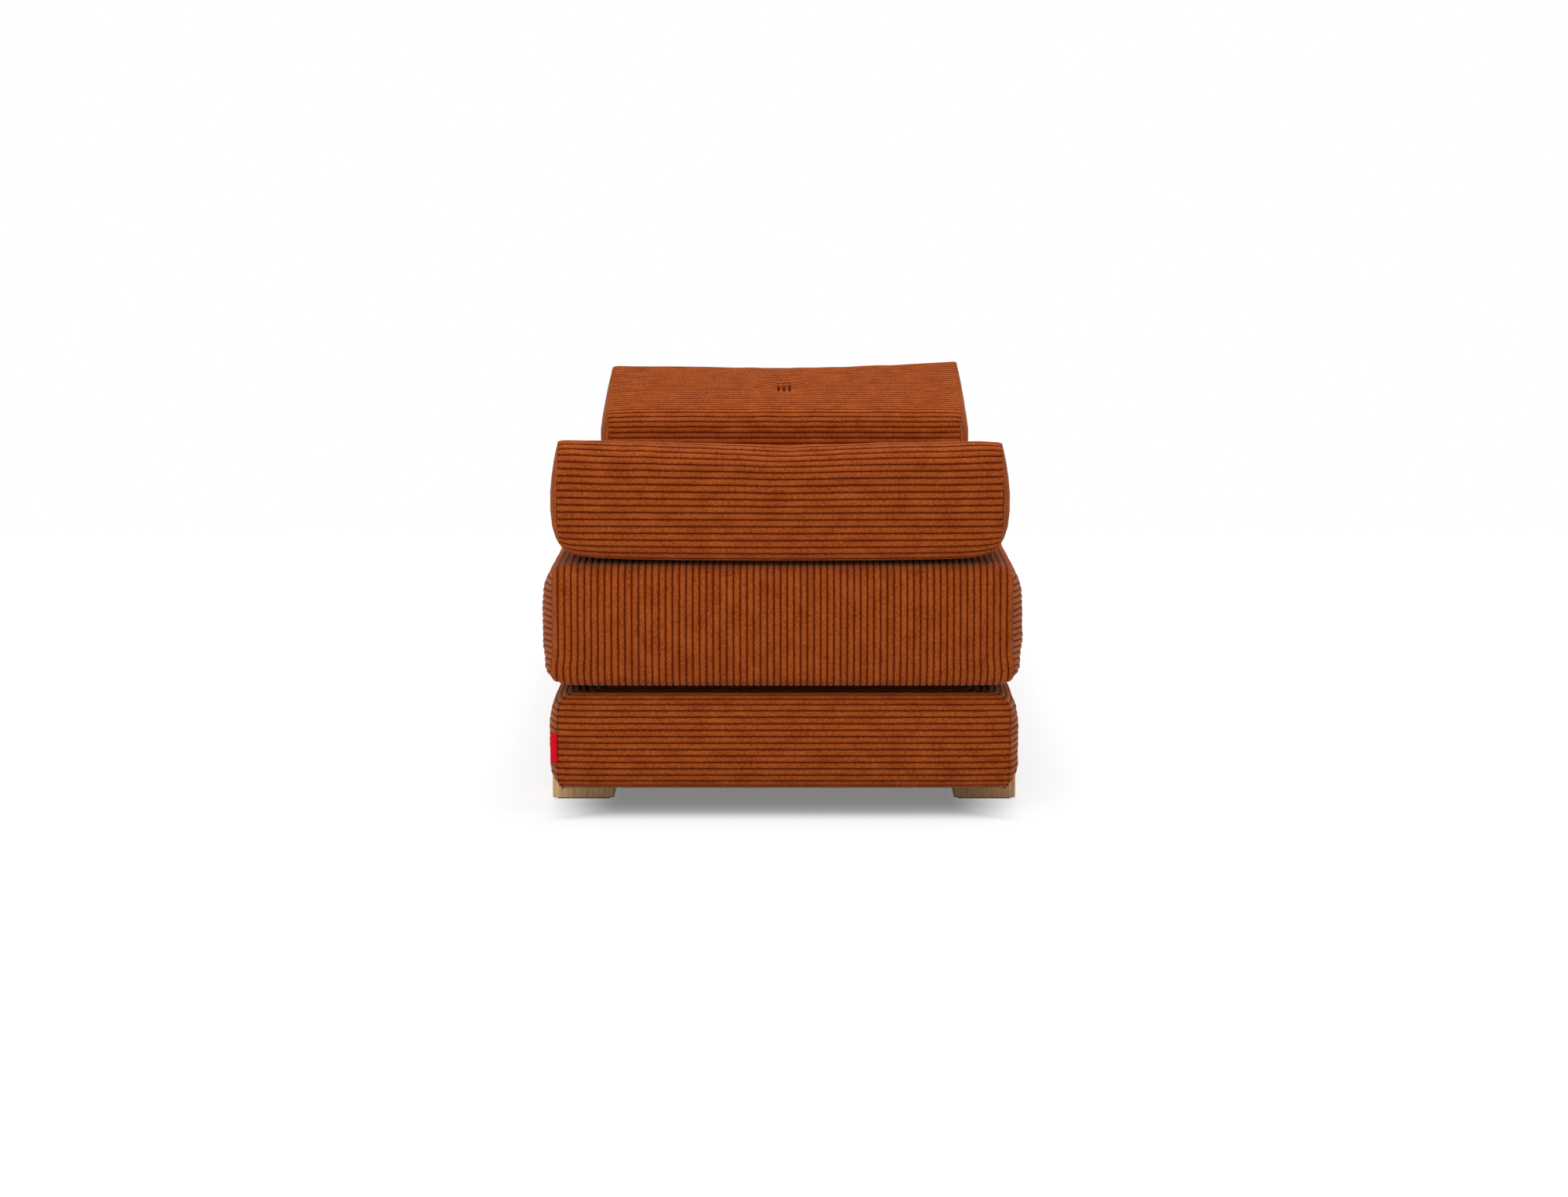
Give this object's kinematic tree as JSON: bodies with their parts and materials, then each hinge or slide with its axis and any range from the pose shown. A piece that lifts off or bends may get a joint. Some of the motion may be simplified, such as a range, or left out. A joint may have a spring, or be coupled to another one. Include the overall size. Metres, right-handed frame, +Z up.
{
  "type": "sofa bed",
  "caption": "Low upholstered base on block feet with a loose mattress and wedge end cushions that lift off to make a double bed.",
  "frame": {"origin": "on the floor under the middle of the bed", "axes": "+X across the bed, +Y along it to the far end, +Z up"},
  "size_m": [0.8532, 2.0354, 0.6491],
  "materials": {
    "orange_corduroy": "wide-wale corduroy",
    "soft_foam": "soft polyurethane foam",
    "firm_foam": "firm polyurethane foam",
    "pine": "planed pine",
    "oak": "oiled oak",
    "birch": "birch plywood",
    "felt": "pressed felt",
    "black_felt": "spun-bonded sheet",
    "red_ribbon": "woven ribbon",
    "zinc_steel": "zinc plated",
    "moulded_plastic": "moulded",
    "twine": "waxed tufting twine",
    "zip_tape": "woven tape with nylon coil",
    "zip_metal": "enamelled zinc"
  },
  "bodies": {
    "base": {"base_cover": "orange_corduroy", "base_foam": "soft_foam", "left_padding": "soft_foam", "right_padding": "soft_foam", "near_padding": "soft_foam", "far_padding": "soft_foam", "left_rail": "pine", "right_rail": "pine", "near_end_rail": "pine", "far_end_rail": "pine", "centre_rail": "pine", "left_slat_ledge": "pine", "right_slat_ledge": "pine", "foot_near_left": "oak", "foot_block_near_left": "pine", "foot_near_right": "oak", "foot_block_near_right": "pine", "foot_far_left": "oak", "foot_block_far_left": "pine", "foot_far_right": "oak", "foot_block_far_right": "pine", "slat_1": "birch", "slat_2": "birch", "slat_3": "birch", "slat_4": "birch", "slat_5": "birch", "slat_6": "birch", "slat_7": "birch", "slat_8": "birch", "slat_9": "birch", "slat_10": "birch", "slat_11": "birch", "slat_12": "birch", "foot_glides": "felt", "dust_cover": "black_felt", "seam_tab": "red_ribbon", "foot_bolts": "zinc_steel", "frame_screws": "zinc_steel"},
    "mattress": {"mattress_cover": "orange_corduroy", "mattress_lower_foam": "soft_foam", "mattress_core_foam": "firm_foam", "mattress_upper_foam": "soft_foam", "mattress_zip": "zip_tape"},
    "near_cushion": {"near_cushion_cover": "orange_corduroy", "near_cushion_core": "firm_foam", "near_cushion_tuft_disc": "moulded_plastic", "near_cushion_tuft_twine": "twine", "near_cushion_zip": "zip_tape"},
    "far_cushion": {"far_cushion_cover": "orange_corduroy", "far_cushion_core": "firm_foam", "far_cushion_tuft_disc": "moulded_plastic", "far_cushion_tuft_twine": "twine", "far_cushion_zip": "zip_tape"},
    "mattress_zip_puller": {"mattress_zip_puller": "zip_metal"},
    "near_cushion_zip_puller": {"near_cushion_zip_puller": "zip_metal"},
    "far_cushion_zip_puller": {"far_cushion_zip_puller": "zip_metal"}
  },
  "joints": [
    {"name": "mattress_lift", "type": "slide", "parent": "base", "child": "mattress", "axis": [0, 0, 1], "range_m": [0, 0.35]},
    {"name": "near_cushion_lift", "type": "slide", "parent": "mattress", "child": "near_cushion", "axis": [0, 0, 1], "range_m": [0, 0.3]},
    {"name": "far_cushion_lift", "type": "slide", "parent": "mattress", "child": "far_cushion", "axis": [0, 0, 1], "range_m": [0, 0.3]},
    {"name": "mattress_zip_slide", "type": "slide", "parent": "mattress", "child": "mattress_zip_puller", "axis": [1, 0, 0], "range_m": [0, 0.591]},
    {"name": "near_cushion_zip_slide", "type": "slide", "parent": "near_cushion", "child": "near_cushion_zip_puller", "axis": [1, 0, 0], "range_m": [0, 0.591]},
    {"name": "far_cushion_zip_slide", "type": "slide", "parent": "far_cushion", "child": "far_cushion_zip_puller", "axis": [1, 0, 0], "range_m": [0, 0.591]}
  ]
}
